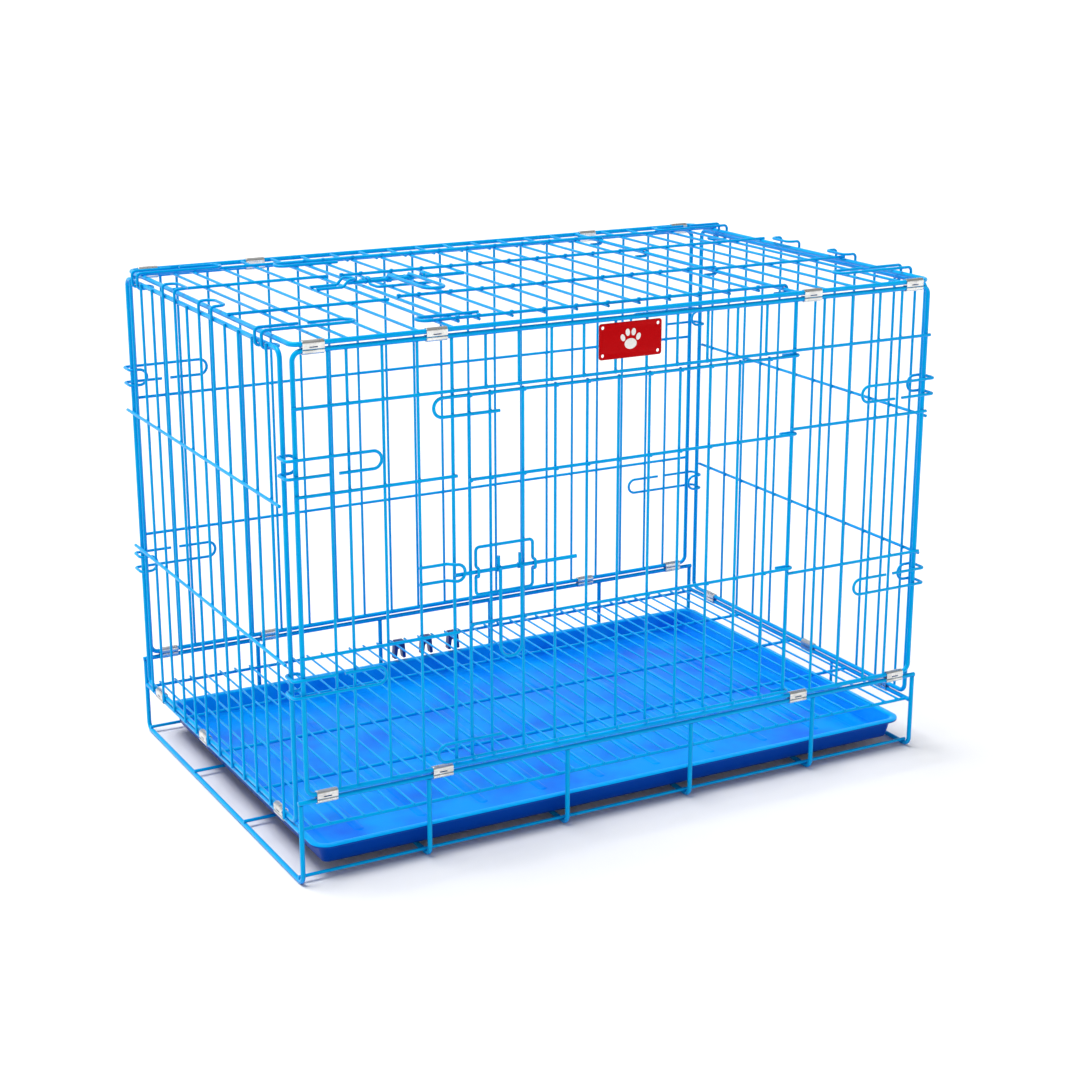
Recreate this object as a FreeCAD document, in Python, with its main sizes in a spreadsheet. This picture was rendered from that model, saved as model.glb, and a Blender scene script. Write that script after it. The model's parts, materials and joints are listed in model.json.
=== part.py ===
import FreeCAD, Part
import math
import os
import Sketcher

# Folding wire dog crate: a base with a raised wire floor and a pull-out tray, four hinged
# wire walls, a hinged wire roof, a door in the front and a door in the roof.
# Millimetres. +X runs along the front, +Y from front to back, +Z up; the floor is z = 0.

doc = FreeCAD.newDocument("wire_dog_crate")

# ---------------------------------------------------------------- driving dimensions

DIMENSIONS = [
    # wire and rod diameters
    ("frame_rod", 5.0),
    ("post_wire", 4.0),
    ("jamb_wire", 3.5),
    ("cross_wire", 3.4),
    ("upright_wire", 3.0),
    ("grid_wire", 2.4),
    ("bearer_wire", 3.6),
    ("ring_wire", 3.2),
    ("bolt_rod", 4.0),
    ("handle_wire", 3.6),
    # the box
    ("centre_shift", 2.8),
    ("panel_half_length", 367.5),
    ("panel_half_depth", 235.0),
    ("end_half_length", 374.6),
    ("end_half_depth", 222.5),
    ("base_rail_height", 88.5),
    ("hinge_stack", 6.5),
    ("wall_rise", 440.0),
    ("end_rail_height", 57.0),
    ("end_rise", 472.3),
    ("corner_bend", 9.0),
    ("running_gap", 0.3),
    ("weld_depth", 0.2),
    # wires of the walls and the roof
    ("wire_pitch", 36.3),
    ("outer_wire", 332.5),
    ("front_post", 194.5),
    ("roof_post", 198.0),
    ("high_cross", 482.0),
    ("middle_cross", 397.5),
    ("low_cross", 237.5),
    ("end_high_cross", 388.0),
    ("end_low_cross", 230.0),
    ("roof_cross", 80.0),
    ("roof_border", 185.0),
    ("short_wire_tail", 2.5),
    ("jamb_overrun", 3.0),
    ("end_wire_tail", 3.5),
    ("arch_rise", 7.5),
    ("arch_inside", 12.0),
    ("arch_foot_bend", 4.0),
    ("arch_crest_bend", 8.0),
    # doors and latches, measured from their hinge post
    ("hook_bend", 4.05),
    ("hook_tail", 12.0),
    ("stop_loop", 19.0),
    ("stop_reach", 421.0),
    ("stop_return", 350.0),
    ("door_reach", 382.0),
    ("door_first_wire", 32.5),
    ("front_door_foot", 102.0),
    ("front_door_head", 476.5),
    ("front_door_high", 392.0),
    ("front_door_low", 243.5),
    ("roof_door_front", -207.0),
    ("roof_door_back", 177.0),
    ("roof_door_cross", 73.0),
    ("bolt_near", 265.1),
    ("bolt_far", 401.1),
    ("bolt_lift", 6.3),
    ("guide_near", 314.0),
    ("guide_far", 377.5),
    ("guide_half_height", 24.5),
    ("guide_arch", 4.5),
    ("guide_corner", 4.0),
    ("guide_kink", 2.2),
    ("keeper_cross", 392.5),
    ("keeper_above", 12.0),
    ("keeper_below", 5.0),
    ("keeper_crest", 9.0),
    ("keeper_slope", 7.0),
    ("keeper_foot_bend", 3.5),
    ("keeper_end_bend", 8.2),
    ("handle_near", 329.5),
    ("handle_far", 353.5),
    ("handle_drop", 92.5),
    ("handle_top", 1.5),
    ("stub_foot", 2.5),
    ("stub_top", 13.0),
    ("sleeve_length", 4.6),
    ("sleeve_wall", 1.1),
    ("front_latch_height", 298.0),
    ("roof_latch_depth", 13.0),
    # spring hook rings
    ("ring_reach", 282.0),
    ("ring_half_width", 8.7),
    ("ring_high", 425.0),
    ("ring_low", 208.0),
    ("ring_tail", 15.0),
    ("ring_gap", 10.0),
    ("ring_stand_off", 0.5),
    # base, floor and tray
    ("rib_inner", 76.0),
    ("rib_outer", 236.0),
    ("runner_inner", 76.0),
    ("runner_outer", 226.0),
    ("runner_overhang", 1.5),
    ("stop_shift", 8.0),
    ("bearer_pitch", 113.0),
    ("grid_overhang", 3.5),
    ("grid_height", 59.4),
    ("grid_pitch", 18.5),
    ("tray_length", 728.0),
    ("tray_width", 456.0),
    ("tray_depth", 25.0),
    ("tray_rest", 8.8),
    ("tray_offset", 7.0),
    ("tray_wall", 2.2),
    ("tray_flange", 6.0),
    ("tray_slope", 6.0),
    ("tray_corner", 26.0),
    # hinge clips, name plate and floor clips
    ("clip_width", 22.0),
    ("clip_sheet", 0.9),
    ("clip_gap", 0.35),
    ("plate_width", 73.0),
    ("plate_height", 37.0),
    ("plate_sheet", 1.0),
    ("plate_hole", 3.2),
    ("plate_margin", 4.5),
    ("plate_left", -44.0),
    ("plate_foot", 494.5),
    ("floor_clip_length", 13.0),
    ("floor_clip_width", 9.0),
    ("floor_clip_height", 9.0),
    ("floor_clip_top", 60.4),
    ("floor_clip_leg", 3.6),
    ("floor_clip_leg_length", 16.0),
    ("floor_clip_spread", 6.2),
]

sheet = doc.addObject("Spreadsheet::Sheet", "Dims")
for row, (alias, value) in enumerate(DIMENSIONS, start=1):
    sheet.set("A%d" % row, alias)
    sheet.set("B%d" % row, str(value))
    sheet.setAlias("B%d" % row, alias)
doc.recompute()


def dim(alias):
    return float(sheet.get(alias))


def radius_of(alias):
    return dim(alias) / 2.0


# ---------------------------------------------------------------- wires

def vec(x, y, z):
    return FreeCAD.Vector(x, y, z)


def straight_wire(start, end, gauge):
    """A straight wire between two points; gauge is the diameter's cell."""
    run = end - start
    rod = doc.addObject("Part::Cylinder", "Wire")
    rod.Height = run.Length
    rod.setExpression("Radius", "Dims.%s / 2" % gauge)
    rod.Placement = FreeCAD.Placement(start, FreeCAD.Rotation(vec(0, 0, 1), run))
    return rod


def wire_bend(centre, first, last, axis, gauge):
    """The round part of a bent wire, from the point first to the point last about a centre."""
    spoke = first - centre
    turn = spoke.getAngle(last - centre)
    bend = doc.addObject("Part::Torus", "Bend")
    bend.Radius1 = spoke.Length
    bend.setExpression("Radius2", "Dims.%s / 2" % gauge)
    bend.Angle3 = math.degrees(turn)
    side = axis.cross(spoke)
    turned = FreeCAD.Rotation(spoke, side, axis, "XZY")
    bend.Placement = FreeCAD.Placement(centre, turned)
    return bend


def bent_wire(points, bends, gauge, closed=False):
    """A wire along a list of points, each inner corner rounded to its radius in bends."""
    count = len(points)
    corners = range(count) if closed else range(1, count - 1)
    entry = list(points)
    leave = list(points)
    pieces = []
    for corner, bend in zip(corners, bends):
        here = points[corner]
        back = (points[corner - 1] - here).normalize()
        ahead = (points[(corner + 1) % count] - here).normalize()
        half = back.getAngle(ahead) / 2.0
        setback = bend / math.tan(half)
        entry[corner] = here + back * setback
        leave[corner] = here + ahead * setback
        middle = (back + ahead).normalize() * (bend / math.sin(half))
        axis = back.cross(ahead) * -1.0
        pieces.append(wire_bend(here + middle, entry[corner], leave[corner], axis, gauge))
    last = count if closed else count - 1
    for index in range(last):
        start = leave[index]
        end = entry[(index + 1) % count]
        if (end - start).Length > 0.02:
            pieces.append(straight_wire(start, end, gauge))
    return pieces


# ---------------------------------------------------------------- nodes

nodes = []


def node(label, pieces, placement):
    """One named sub-part made of its pieces, set in place."""
    group = doc.addObject("Part::Compound", label)
    group.Links = pieces
    group.Label = label
    group.Placement = placement
    nodes.append(group)
    return group


SHIFT = dim("centre_shift")
UPRIGHT = FreeCAD.Rotation(vec(1, 0, 0), 90)


def wall_placement(turn, out):
    """Local u runs along the wall, v up and w outwards; out is where the wall's plane stands."""
    facing = FreeCAD.Rotation(vec(0, 0, 1), turn)
    stand = facing.multVec(vec(0, -out, 0))
    return FreeCAD.Placement(stand + vec(0, SHIFT, 0), facing.multiply(UPRIGHT))


HALF_LENGTH = dim("panel_half_length")
HALF_DEPTH = dim("panel_half_depth")
END_LENGTH = dim("end_half_length")
END_DEPTH = dim("end_half_depth")
STACK = dim("hinge_stack")
BASE_RAIL = dim("base_rail_height")
WALL_FOOT = BASE_RAIL + STACK
WALL_HEAD = WALL_FOOT + dim("wall_rise")
ROOF = WALL_HEAD + STACK
END_RAIL = dim("end_rail_height")
END_FOOT = END_RAIL + STACK
END_HEAD = END_FOOT + dim("end_rise")
ROD = radius_of("frame_rod")
POST = radius_of("post_wire")
CROSS = radius_of("cross_wire")
UPRIGHT_RADIUS = radius_of("upright_wire")
RING = radius_of("ring_wire")
WELD = dim("weld_depth")
GAP = dim("running_gap")
PITCH = dim("wire_pitch")

FRONT = wall_placement(0, HALF_DEPTH)
BACK = wall_placement(180, HALF_DEPTH)
LEFT = wall_placement(-90, END_LENGTH)
RIGHT = wall_placement(90, END_LENGTH)
TOP = FreeCAD.Placement(vec(0, SHIFT, ROOF), FreeCAD.Rotation())
GROUND = FreeCAD.Placement(vec(0, SHIFT, 0), FreeCAD.Rotation())

# How far outwards each layer of a wall lies from the plane of its frame.
UPRIGHT_LAYER = GAP
CROSS_LAYER = UPRIGHT_LAYER + UPRIGHT_RADIUS + CROSS - WELD
DOOR_CROSS_LAYER = dim("hook_bend")
DOOR_UPRIGHT_LAYER = DOOR_CROSS_LAYER - CROSS - UPRIGHT_RADIUS + WELD
DOOR_FACE = DOOR_UPRIGHT_LAYER + UPRIGHT_RADIUS
END_UPRIGHT_LAYER = ROD + UPRIGHT_RADIUS - WELD
END_CROSS_LAYER = END_UPRIGHT_LAYER + UPRIGHT_RADIUS + CROSS - WELD
# How far a cross wire pokes past the frame rod that it is welded on.
POKE = 0.9
# Wires of the front wall and the roof, counted in pitches from the hinge post.
OUTERMOST = 14
JAMB = 11
BESIDE_POST = 3


def rod_frame(half_width, foot, head):
    """A closed frame of heavy rod with rounded corners."""
    corners = [vec(-half_width, foot, 0), vec(half_width, foot, 0),
               vec(half_width, head, 0), vec(-half_width, head, 0)]
    return bent_wire(corners, [dim("corner_bend")] * 4, "frame_rod", closed=True)


def uprights(places, foot, head, layer, gauge="upright_wire"):
    return [straight_wire(vec(u, foot, layer), vec(u, head, layer), gauge) for u in places]


def cross_wires(heights, left, right, layer):
    return [straight_wire(vec(left, v, layer), vec(right, v, layer), "cross_wire") for v in heights]


# ---------------------------------------------------------------- hinge clips

def stadium(centres, radius, width, place):
    """A solid with two round edges, width long, its section round the two centres."""
    low, high = centres
    solids = []
    for v in (low, high):
        end = doc.addObject("Part::Cylinder", "ClipEdge")
        end.Radius = radius
        end.Height = width
        end.Placement = FreeCAD.Placement(vec(place - width / 2.0, v, 0),
                                          FreeCAD.Rotation(vec(0, 1, 0), 90))
        solids.append(end)
    web = doc.addObject("Part::Box", "ClipWeb")
    web.Length = width
    web.Width = high - low
    web.Height = 2.0 * radius
    web.Placement.Base = vec(place - width / 2.0, low, -radius)
    solids.append(web)
    whole = doc.addObject("Part::MultiFuse", "ClipSection")
    whole.Shapes = solids
    return whole


def hinge_clip(place, fixed, moving):
    """A sheet strap closed round a fixed rod, which it touches, and a rod that turns in it."""
    gap = dim("clip_gap")
    inner_radius = ROD + gap
    lean = gap if moving > fixed else -gap
    centres = sorted((fixed + lean, moving))
    outer = stadium(centres, inner_radius + dim("clip_sheet"), dim("clip_width"), place)
    inner = stadium(centres, inner_radius, dim("clip_width") + 2.0, place)
    strap = doc.addObject("Part::Cut", "Clip")
    strap.Base = outer
    strap.Tool = inner
    return strap


CLIP_PLACES = (-347.0, -221.0, 214.0, 347.0)
END_CLIP_PLACES = (-5.0 * PITCH, -PITCH, 5.0 * PITCH)


# ---------------------------------------------------------------- spring hook rings

def hook_ring(side, level, arm_layer, target_u, target_w, gap_side):
    """A flattened wire ring bent round the corner rods; its two ends meet with a gap in one arm."""
    half = dim("ring_half_width")
    clear = ROD + GAP + RING
    outer = target_u + clear
    behind = target_w - clear
    tail = target_u - dim("ring_tail")
    reach = dim("ring_reach")
    gap_middle = (outer + reach) / 2.0
    half_gap = dim("ring_gap") / 2.0
    low = level + gap_side * half
    high = level - gap_side * half
    points = [vec(side * (gap_middle - half_gap), low, arm_layer),
              vec(side * reach, low, arm_layer),
              vec(side * reach, high, arm_layer),
              vec(side * outer, high, arm_layer),
              vec(side * outer, high, behind),
              vec(side * tail, high, behind),
              vec(side * tail, low, behind),
              vec(side * outer, low, behind),
              vec(side * outer, low, arm_layer),
              vec(side * (gap_middle + half_gap), low, arm_layer)]
    return bent_wire(points, [half, half, clear, clear, half, half, clear, clear], "ring_wire")


def wall_rings():
    rings = []
    layer = ROD + RING + dim("ring_stand_off")
    for side in (-1, 1):
        for level, gap_side in ((dim("ring_high"), -1), (dim("ring_low"), 1)):
            rings += hook_ring(side, level, layer, END_LENGTH, END_DEPTH - HALF_DEPTH, gap_side)
    return rings


def roof_rings():
    rings = []
    layer = CROSS_LAYER + CROSS + RING + WELD
    for side in (-1, 1):
        for level in (-5.0 * PITCH, 5.0 * PITCH):
            rings += hook_ring(side, level, layer, END_LENGTH, END_HEAD - ROOF, 1)
    return rings


# ---------------------------------------------------------------- doors and their latches

DOOR_WIRES = 10


def door_rail(post, v, far):
    """A door cross wire that ends in an open hook round the hinge post."""
    bend = dim("hook_bend")
    layer = DOOR_CROSS_LAYER
    points = [vec(post - far, v, layer), vec(post + bend, v, layer),
              vec(post + bend, v, -bend), vec(post - dim("hook_tail"), v, -bend)]
    return bent_wire(points, [bend, bend], "cross_wire")


def stop_rail(post, v, inwards):
    """A door edge wire, hooked on the post, that loops past the jamb and turns back as a stop."""
    bend = dim("hook_bend")
    loop = dim("stop_loop")
    layer = DOOR_CROSS_LAYER
    reach = post - dim("stop_reach")
    back = v + inwards * loop
    points = [vec(post - dim("stop_return"), back, layer), vec(reach, back, layer),
              vec(reach, v, layer), vec(post + bend, v, layer),
              vec(post + bend, v, -bend), vec(post - dim("hook_tail"), v, -bend)]
    return bent_wire(points, [loop / 2.0, loop / 2.0, bend, bend], "cross_wire")


def door(name, post, foot, head, middles, latch, placement):
    """A wire door on its hinge post with the bolt's guide, the bolt and the bolt's handle."""
    rails = stop_rail(post, head, -1) + stop_rail(post, foot, 1)
    for v in middles:
        rails += door_rail(post, v, dim("door_reach") + 2.0)
    node(name + "_door_rails", rails, placement)

    wires = uprights([post - dim("door_reach")], foot - CROSS, head + CROSS,
                     DOOR_UPRIGHT_LAYER, "jamb_wire")
    first = post - dim("door_first_wire")
    inner = [first - PITCH * k for k in range(DOOR_WIRES)]
    wires += uprights(inner, foot - CROSS, head + CROSS, DOOR_UPRIGHT_LAYER)
    node(name + "_door_wires", wires, placement)

    node(name + "_bolt_guide", bolt_guide(post, latch), placement)
    bolt = straight_wire(vec(post - dim("bolt_far"), latch, dim("bolt_lift")),
                         vec(post - dim("bolt_near"), latch, dim("bolt_lift")), "bolt_rod")
    node(name + "_bolt", [bolt], placement)
    node(name + "_bolt_handle", bolt_handle(post, latch), placement)


def arch_layer():
    """How far out a wire lies that passes in front of the bolt."""
    return dim("bolt_lift") + radius_of("bolt_rod") + GAP + RING


def bolt_guide(post, latch):
    """A rectangle of wire on the door whose two sides arch over the bolt."""
    low = latch - dim("guide_half_height")
    high = latch + dim("guide_half_height")
    near = post - dim("guide_near")
    far = post - dim("guide_far")
    flat = DOOR_FACE + RING - WELD
    arch = dim("guide_arch")
    corner = dim("guide_corner")
    points = [vec(far, low, flat), vec(near, low, flat)]
    bends = [corner, corner]
    for side, climb in ((near, 1), (far, -1)):
        start = latch - climb * arch
        end = latch + climb * arch
        points += [vec(side, start, flat), vec(side, start, arch_layer()),
                   vec(side, end, arch_layer()), vec(side, end, flat)]
        bends += [dim("guide_kink")] * 4
        if climb > 0:
            points += [vec(near, high, flat), vec(far, high, flat)]
            bends += [corner, corner]
    return bent_wire(points, bends, "ring_wire", closed=True)


def bolt_handle(post, latch):
    """A long wire stirrup in front of the bolt, with a sleeve and a stub on each arm."""
    axis = dim("bolt_lift")
    front = axis + radius_of("bolt_rod") + GAP + radius_of("handle_wire")
    top = latch + dim("handle_top")
    bottom = latch - dim("handle_drop")
    near = post - dim("handle_near")
    far = post - dim("handle_far")
    bend = (near - far) / 2.0
    points = [vec(near, top, front), vec(near, bottom, front),
              vec(far, bottom, front), vec(far, top, front)]
    pieces = bent_wire(points, [bend, bend], "handle_wire")
    for u in (near, far):
        pieces.append(sleeve(u, latch))
        pieces.append(straight_wire(vec(u, latch + dim("stub_foot"), axis),
                                    vec(u, latch + dim("stub_top"), axis), "handle_wire"))
    return pieces


def sleeve(u, v):
    """A short tube that turns on the bolt."""
    length = dim("sleeve_length")
    turned = FreeCAD.Rotation(vec(0, 1, 0), 90)
    outer = doc.addObject("Part::Cylinder", "SleeveOuter")
    outer.setExpression("Radius", "Dims.bolt_rod / 2 + Dims.sleeve_wall")
    outer.Height = length
    outer.Placement = FreeCAD.Placement(vec(u - length / 2.0, v, dim("bolt_lift")), turned)
    bore = doc.addObject("Part::Cylinder", "SleeveBore")
    bore.setExpression("Radius", "Dims.bolt_rod / 2 + Dims.running_gap")
    bore.Height = length + 2.0
    bore.Placement = FreeCAD.Placement(vec(u - length / 2.0 - 1.0, v, dim("bolt_lift")), turned)
    tube = doc.addObject("Part::Cut", "Sleeve")
    tube.Base = outer
    tube.Tool = bore
    return tube


def bolt_keeper(name, post, latch, placement):
    """A sprung hairpin on a wall wire whose round end stands in front of the bolt."""
    start = post - (JAMB + 1) * PITCH - dim("jamb_overrun")
    flat = UPRIGHT_LAYER + UPRIGHT_RADIUS + RING - WELD
    cross = post - dim("keeper_cross")
    crest = cross - dim("keeper_crest")
    foot = crest - dim("keeper_slope")
    high = latch + dim("keeper_above")
    low = latch - dim("keeper_below")
    out = arch_layer()
    points = [vec(start, high, flat), vec(foot, high, flat), vec(crest, high, out),
              vec(cross, high, out), vec(cross, low, out), vec(crest, low, out),
              vec(foot, low, flat), vec(start, low, flat)]
    slope = [dim("keeper_foot_bend")] * 2
    end = [dim("keeper_end_bend")] * 2
    node(name, bent_wire(points, slope + end + slope, "ring_wire"), placement)


# ---------------------------------------------------------------- base

def base():
    hoops = []
    post_top = BASE_RAIL - ROD + WELD
    for x in (-END_LENGTH, END_LENGTH):
        hoops += u_hoop(x, post_top)
    node("base_end_hoops", hoops, GROUND)

    ribs = []
    for x in (-dim("rib_outer"), -dim("rib_inner"), dim("rib_inner"), dim("rib_outer")):
        ribs += u_hoop(x, post_top)
    node("base_ribs", ribs, GROUND)

    reach = END_LENGTH + ROD
    side_rails = [straight_wire(vec(-reach, y, BASE_RAIL), vec(reach, y, BASE_RAIL), "frame_rod")
                  for y in (-HALF_DEPTH, HALF_DEPTH)]
    node("base_side_rails", side_rails, GROUND)

    butt = HALF_DEPTH - ROD + WELD
    end_rails = [straight_wire(vec(x, -butt, END_RAIL), vec(x, butt, END_RAIL), "frame_rod")
                 for x in (-END_LENGTH, END_LENGTH)]
    node("base_end_rails", end_rails, GROUND)

    bearer = radius_of("bearer_wire")
    level = 2.0 * ROD + bearer - WELD
    runner_rows = (-dim("runner_outer"), -dim("runner_inner"), dim("runner_inner"), dim("runner_outer"))
    reach = END_LENGTH + dim("runner_overhang")
    runners = [straight_wire(vec(-reach, y, level), vec(reach, y, level), "bearer_wire")
               for y in runner_rows]
    node("tray_runners", runners, GROUND)

    shift = dim("stop_shift")
    stops = [straight_wire(vec(END_LENGTH, y, 2.0 * ROD - WELD),
                           vec(END_LENGTH, y, END_RAIL - ROD + WELD), "bearer_wire")
             for y in (-dim("runner_inner") - shift, dim("runner_inner") - shift)]
    node("tray_stops", stops, GROUND)


def u_hoop(x, post_top):
    """A rod that lies on the floor from front to back and stands up at both ends."""
    points = [vec(x, -HALF_DEPTH, post_top), vec(x, -HALF_DEPTH, ROD),
              vec(x, HALF_DEPTH, ROD), vec(x, HALF_DEPTH, post_top)]
    return bent_wire(points, [dim("corner_bend")] * 2, "frame_rod")


# ---------------------------------------------------------------- wire floor

GRID_WIRES = 40
GRID_CLIP_STEPS = (-3, -1, 1)
LEG_INSET = 0.5
LEG_OVERLAP = 2.0
LEG_LEAN = 8.0
BEARER_ROWS = [dim("bearer_pitch") * k for k in range(-2, 3)]


def wire_floor():
    wire = radius_of("grid_wire")
    bearer = radius_of("bearer_wire")
    height = dim("grid_height")
    under = height - wire - bearer + WELD
    butt = END_LENGTH - ROD + WELD
    bearers = [straight_wire(vec(-butt, y, under), vec(butt, y, under), "bearer_wire")
               for y in BEARER_ROWS]
    node("floor_bearers", bearers, GROUND)

    pitch = dim("grid_pitch")
    first = -pitch * (GRID_WIRES - 1) / 2.0
    reach = BEARER_ROWS[-1] + dim("grid_overhang")
    wires = [straight_wire(vec(first + pitch * k, -reach, height),
                           vec(first + pitch * k, reach, height), "grid_wire")
             for k in range(GRID_WIRES)]
    node("floor_grid_wires", wires, GROUND)
    node("floor_grid_clips", [grid_clip(pitch * k, under) for k in GRID_CLIP_STEPS], GROUND)


def grid_clip(x, wire_height):
    """A moulded clip snapped on the rear bearer, with two legs that spread downwards."""
    row = BEARER_ROWS[-1]
    head = doc.addObject("Part::Box", "ClipHead")
    head.Length = dim("floor_clip_length")
    head.Width = dim("floor_clip_width")
    head.Height = dim("floor_clip_height")
    foot = dim("floor_clip_top") - dim("floor_clip_height")
    front = row - dim("floor_clip_width") / 2.0
    head.Placement.Base = vec(x - dim("floor_clip_length") / 2.0, front, foot)
    legs = []
    for side in (-1, 1):
        leg = doc.addObject("Part::Box", "ClipLeg")
        leg.Length = dim("floor_clip_leg")
        leg.Width = dim("floor_clip_width") - 2.0 * LEG_INSET
        leg.Height = dim("floor_clip_leg_length")
        left = x + side * dim("floor_clip_spread") - dim("floor_clip_leg") / 2.0
        low = foot + LEG_OVERLAP - dim("floor_clip_leg_length")
        leg.Placement = FreeCAD.Placement(vec(left, front + LEG_INSET, low),
                                          FreeCAD.Rotation(vec(0, 1, 0), -LEG_LEAN * side))
        legs.append(leg)
    solid = doc.addObject("Part::MultiFuse", "ClipBody")
    solid.Shapes = [head] + legs
    groove = doc.addObject("Part::Cylinder", "ClipGroove")
    groove.Radius = radius_of("bearer_wire") + 0.05
    groove.Height = 2.0 * dim("floor_clip_length")
    groove.Placement = FreeCAD.Placement(vec(x - dim("floor_clip_length"), row, wire_height),
                                         FreeCAD.Rotation(vec(0, 1, 0), 90))
    clip = doc.addObject("Part::Cut", "GridClip")
    clip.Base = solid
    clip.Tool = groove
    return clip


# ---------------------------------------------------------------- tray

def rounded_frustum(length, width, foot, head, slope, corner):
    """A low block with sloping sides and rounded corners, growing by slope on each side."""
    block = doc.addObject("Part::Wedge", "Frustum")
    block.Xmin, block.Xmax = -length / 2.0, length / 2.0
    block.Zmin, block.Zmax = -width / 2.0, width / 2.0
    block.X2min, block.X2max = -length / 2.0 - slope, length / 2.0 + slope
    block.Z2min, block.Z2max = -width / 2.0 - slope, width / 2.0 + slope
    block.Ymin, block.Ymax = foot, head
    block.Placement = FreeCAD.Placement(vec(dim("tray_offset"), 0, 0), UPRIGHT)
    doc.recompute()
    rounded = doc.addObject("Part::Fillet", "RoundedFrustum")
    rounded.Base = block
    edges = []
    for index, edge in enumerate(block.Shape.Edges, start=1):
        low = min(vertex.Z for vertex in edge.Vertexes)
        high = max(vertex.Z for vertex in edge.Vertexes)
        if high - low > 0.5 * (head - foot):
            edges.append((index, corner, corner))
    rounded.Edges = edges
    return rounded


def tray():
    rest = dim("tray_rest")
    rim = rest + dim("tray_depth")
    wall = dim("tray_wall")
    slope = dim("tray_slope")
    flange = dim("tray_flange")
    corner = dim("tray_corner")
    top_length = dim("tray_length") - 2.0 * flange
    top_width = dim("tray_width") - 2.0 * flange
    foot_length = top_length - 2.0 * slope
    foot_width = top_width - 2.0 * slope
    outer = rounded_frustum(foot_length, foot_width, rest, rim - wall / 2.0, slope, corner)
    lip = rounded_frustum(dim("tray_length"), dim("tray_width"), rim - wall, rim, 0.0,
                          corner + flange)
    shell = doc.addObject("Part::Fuse", "TrayShell")
    shell.Base = outer
    shell.Tool = lip
    steep = slope * (dim("tray_depth") - wall + 1.0) / dim("tray_depth")
    hollow = rounded_frustum(foot_length - 2.0 * wall, foot_width - 2.0 * wall, rest + wall,
                             rim + 1.0, steep, corner - wall)
    basin = doc.addObject("Part::Cut", "TrayBasin")
    basin.Base = shell
    basin.Tool = hollow
    node("tray", [basin], GROUND)


# ---------------------------------------------------------------- front wall

def post_rows(post, low, high):
    """Places of the evenly spaced wires from low to high pitches off a hinge post."""
    return [post + PITCH * k for k in range(low, high + 1)]


def front_wall():
    post = dim("front_post")
    outer = dim("outer_wire")
    foot = WALL_FOOT + ROD - WELD
    head = WALL_HEAD - ROD + WELD
    node("front_frame", rod_frame(HALF_LENGTH, WALL_FOOT, WALL_HEAD), FRONT)
    left = uprights([-outer] + post_rows(post, -OUTERMOST, -JAMB - 1), foot, head, UPRIGHT_LAYER)
    left += uprights([post - JAMB * PITCH], foot, head, UPRIGHT_LAYER, "jamb_wire")
    node("front_left_wires", left, FRONT)
    right = uprights(post_rows(post, 1, BESIDE_POST) + [outer], foot, head, UPRIGHT_LAYER)
    node("front_right_wires", right, FRONT)
    short_foot = dim("high_cross") - dim("short_wire_tail")
    lintel = uprights(post_rows(post, 1 - JAMB, -1), short_foot, head, UPRIGHT_LAYER)
    node("front_lintel_wires", lintel, FRONT)
    node("front_hinge_post", uprights([post], foot, head, 0.0, "post_wire"), FRONT)

    edge = HALF_LENGTH + ROD + POKE
    jamb = post - JAMB * PITCH + dim("jamb_overrun")
    sides = (dim("low_cross"), dim("middle_cross"))
    crosses = cross_wires([dim("high_cross")], -edge, edge, CROSS_LAYER)
    crosses += cross_wires(sides, -edge, jamb, CROSS_LAYER)
    crosses += cross_wires(sides, post - POST, edge, CROSS_LAYER)
    node("front_cross_wires", crosses, FRONT)

    latch = dim("front_latch_height")
    bolt_keeper("front_keeper", post, latch, FRONT)
    node("front_hook_rings", wall_rings(), FRONT)
    middles = (dim("front_door_high"), dim("front_door_low"))
    door("front", post, dim("front_door_foot"), dim("front_door_head"), middles, latch, FRONT)


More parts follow.
